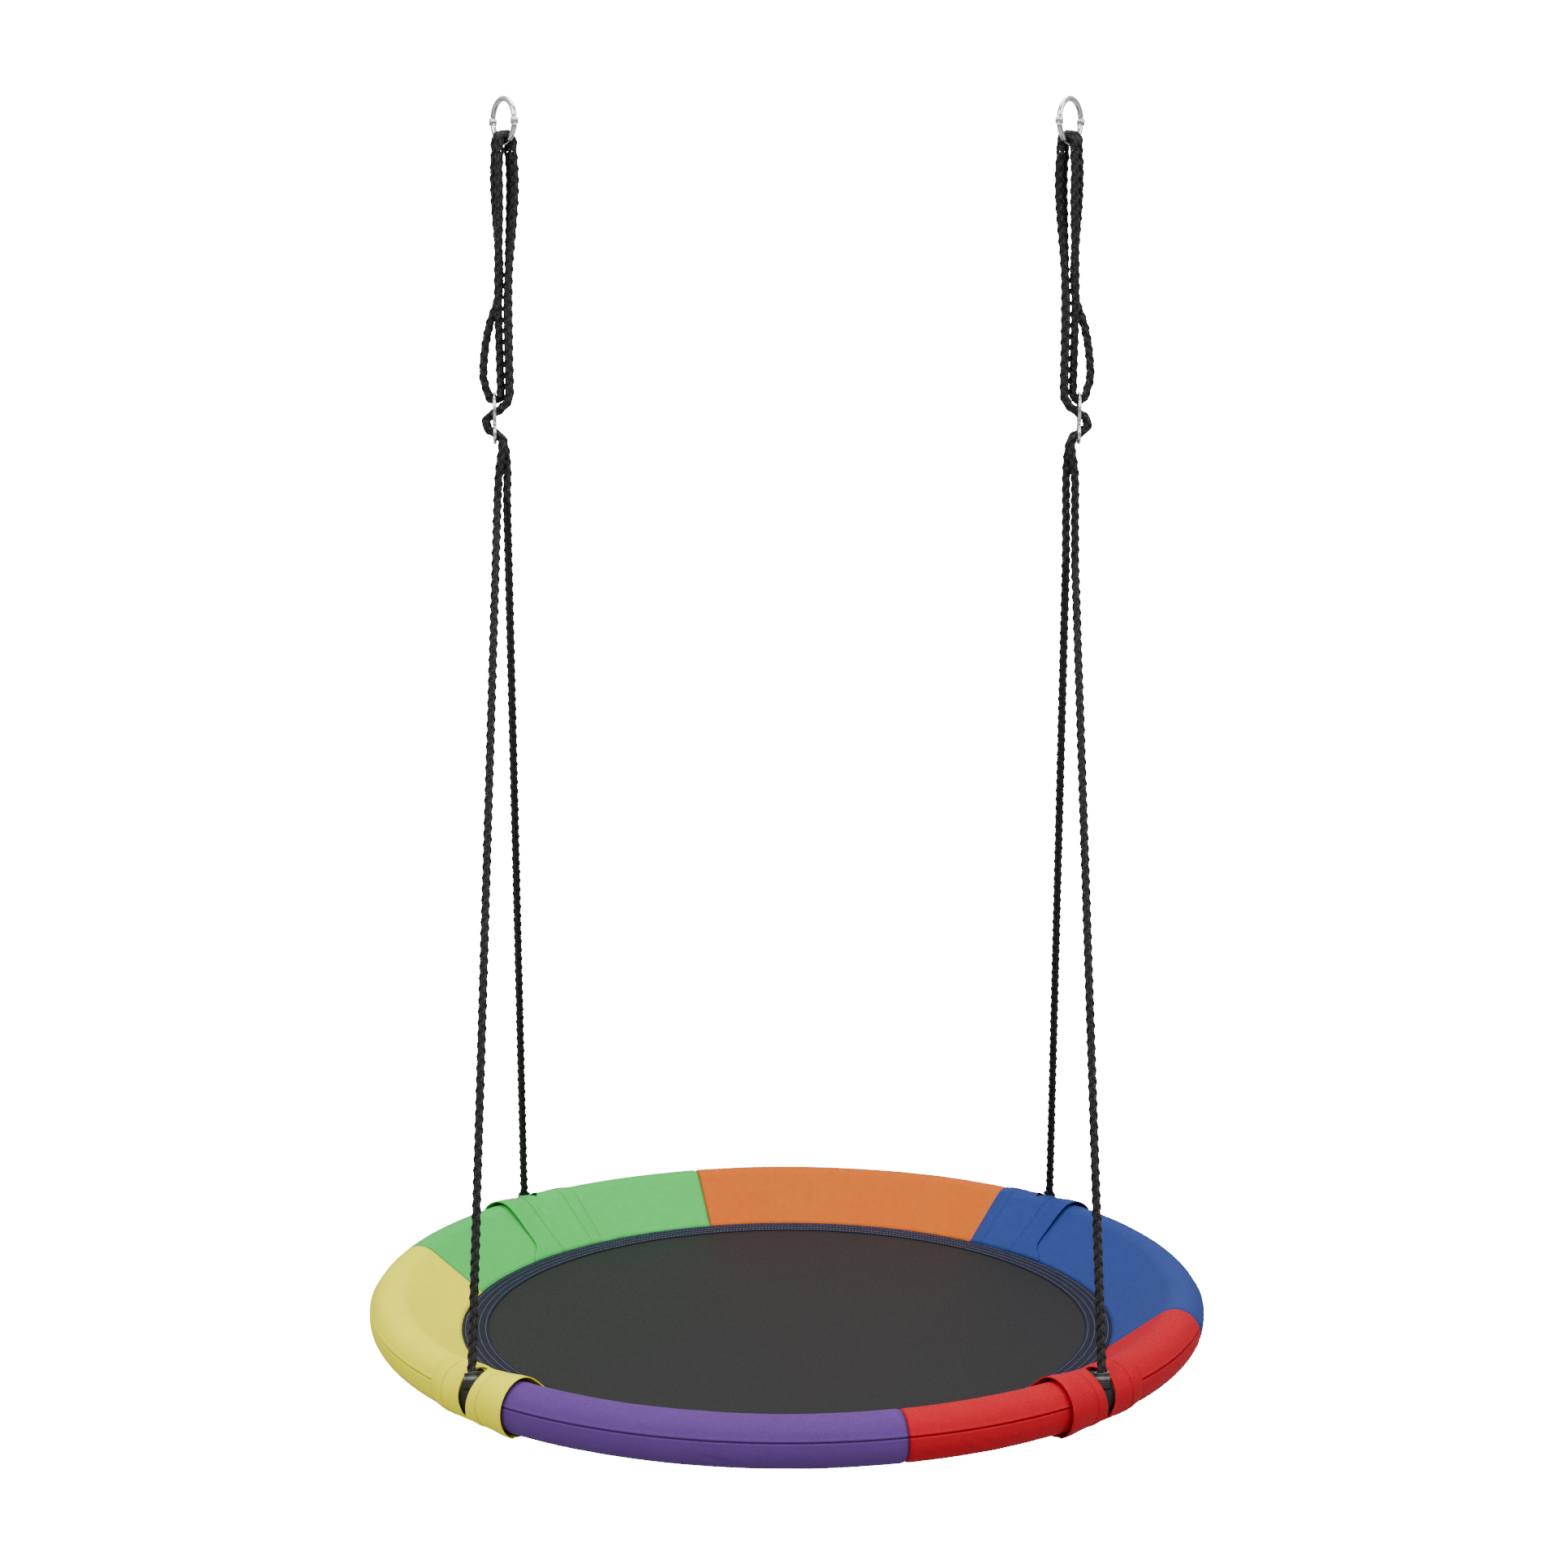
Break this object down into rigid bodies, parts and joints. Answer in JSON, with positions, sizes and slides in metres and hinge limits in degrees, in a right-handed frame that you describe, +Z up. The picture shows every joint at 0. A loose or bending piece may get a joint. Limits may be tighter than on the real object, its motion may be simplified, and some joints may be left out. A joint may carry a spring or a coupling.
{
  "type": "saucer swing",
  "caption": "Round padded saucer swing with a coloured sectioned rim and fabric mat, hung by two black ropes with wire adjusters from two snap rings.",
  "frame": {"origin": "midway between the two snap rings, level with the inner top of each, where a beam's hooks bear", "axes": "+Z up, +X from the left ring to the right ring, -Y the front of the swing as pictured"},
  "size_m": [1, 1, 1.4521],
  "materials": {
    "fabric_yellow": "matte",
    "fabric_green": "matte",
    "fabric_orange": "matte",
    "fabric_blue": "matte",
    "fabric_red": "matte",
    "fabric_purple": "matte",
    "mat": "matte",
    "hem": "matte",
    "webbing": "matte",
    "rope": "satin",
    "foam": "matte",
    "steel": "satin",
    "zinc": "satin",
    "chrome": "polished"
  },
  "bodies": {
    "rings": {"ring_catch_pin_left": "zinc", "ring_catch_pin_right": "zinc", "ring_hinge_pin_left": "zinc", "ring_hinge_pin_right": "zinc", "ring_lower_left": "chrome", "ring_lower_right": "chrome"},
    "gate_left": {"ring_upper_left": "chrome"},
    "gate_right": {"ring_upper_right": "chrome"},
    "rope_turns": {"rope_turn_left_front": "rope", "rope_turn_left_rear": "rope", "rope_turn_right_front": "rope", "rope_turn_right_rear": "rope"},
    "rope_left": {"rope_adjuster_left": "chrome", "rope_bight_left": "rope", "rope_leg_front_left": "rope", "rope_leg_rear_left": "rope"},
    "rope_right": {"rope_adjuster_right": "chrome", "rope_bight_right": "rope", "rope_leg_front_right": "rope", "rope_leg_rear_right": "rope"},
    "saucer": {"cover_blue": "fabric_blue", "cover_green": "fabric_green", "cover_orange": "fabric_orange", "cover_purple": "fabric_purple", "cover_red": "fabric_red", "cover_yellow": "fabric_yellow", "foam_sleeve_1": "foam", "foam_sleeve_2": "foam", "foam_sleeve_3": "foam", "foam_sleeve_4": "foam", "frame_screw_1": "zinc", "frame_screw_2": "zinc", "frame_screw_3": "zinc", "frame_screw_4": "zinc", "frame_tube_1": "steel", "frame_tube_2": "steel", "frame_tube_3": "steel", "frame_tube_4": "steel", "mat_hem": "hem", "rope_sleeve_front_left": "fabric_yellow", "rope_sleeve_front_right": "fabric_red", "rope_sleeve_rear_left": "fabric_green", "rope_sleeve_rear_right": "fabric_blue", "seat_mat": "mat", "tube_joiner_1": "steel", "tube_joiner_2": "steel", "tube_joiner_3": "steel", "tube_joiner_4": "steel", "webbing_sling_front_left": "webbing", "webbing_sling_front_right": "webbing", "webbing_sling_rear_left": "webbing", "webbing_sling_rear_right": "webbing"}
  },
  "joints": [
    {"name": "gate_left_hinge", "type": "hinge", "parent": "rings", "child": "gate_left", "pos_m": [-0.30845, -0.02007, -0.02125], "axis": [0.8192, 0.5736, 0], "range_deg": [0, 60]},
    {"name": "gate_right_hinge", "type": "hinge", "parent": "rings", "child": "gate_right", "pos_m": [0.30845, -0.02007, -0.02125], "axis": [0.8192, -0.5736, 0], "range_deg": [0, 60]},
    {"name": "swing", "type": "hinge", "parent": "rings", "child": "rope_turns", "pos_m": [0, 0, -0.04518], "axis": [1, 0, 0], "range_deg": [-45, 45], "deforming": ["rope_turn_left_front", "rope_turn_left_rear", "rope_turn_right_front", "rope_turn_right_rear"]},
    {"name": "sway_left", "type": "hinge", "parent": "rope_turns", "child": "rope_left", "pos_m": [-0.3225, 0, -0.04518], "axis": [0, 1, 0], "range_deg": [-7.5, 7.5]},
    {"name": "sway_right", "type": "hinge", "parent": "rope_turns", "child": "rope_right", "pos_m": [0.3225, 0, -0.04518], "axis": [0, 1, 0], "range_deg": [-7.5, 7.5]},
    {"name": "saucer_level", "type": "hinge", "parent": "rope_left", "child": "saucer", "pos_m": [-0.34586, 0, -1.38907], "axis": [0, 1, 0], "range_deg": [-7.05, 7.05]}
  ],
  "couplings": [
    {"joint": "sway_right", "follows": "sway_left", "ratio": 1},
    {"joint": "saucer_level", "follows": "sway_left", "ratio": -0.9327}
  ]
}
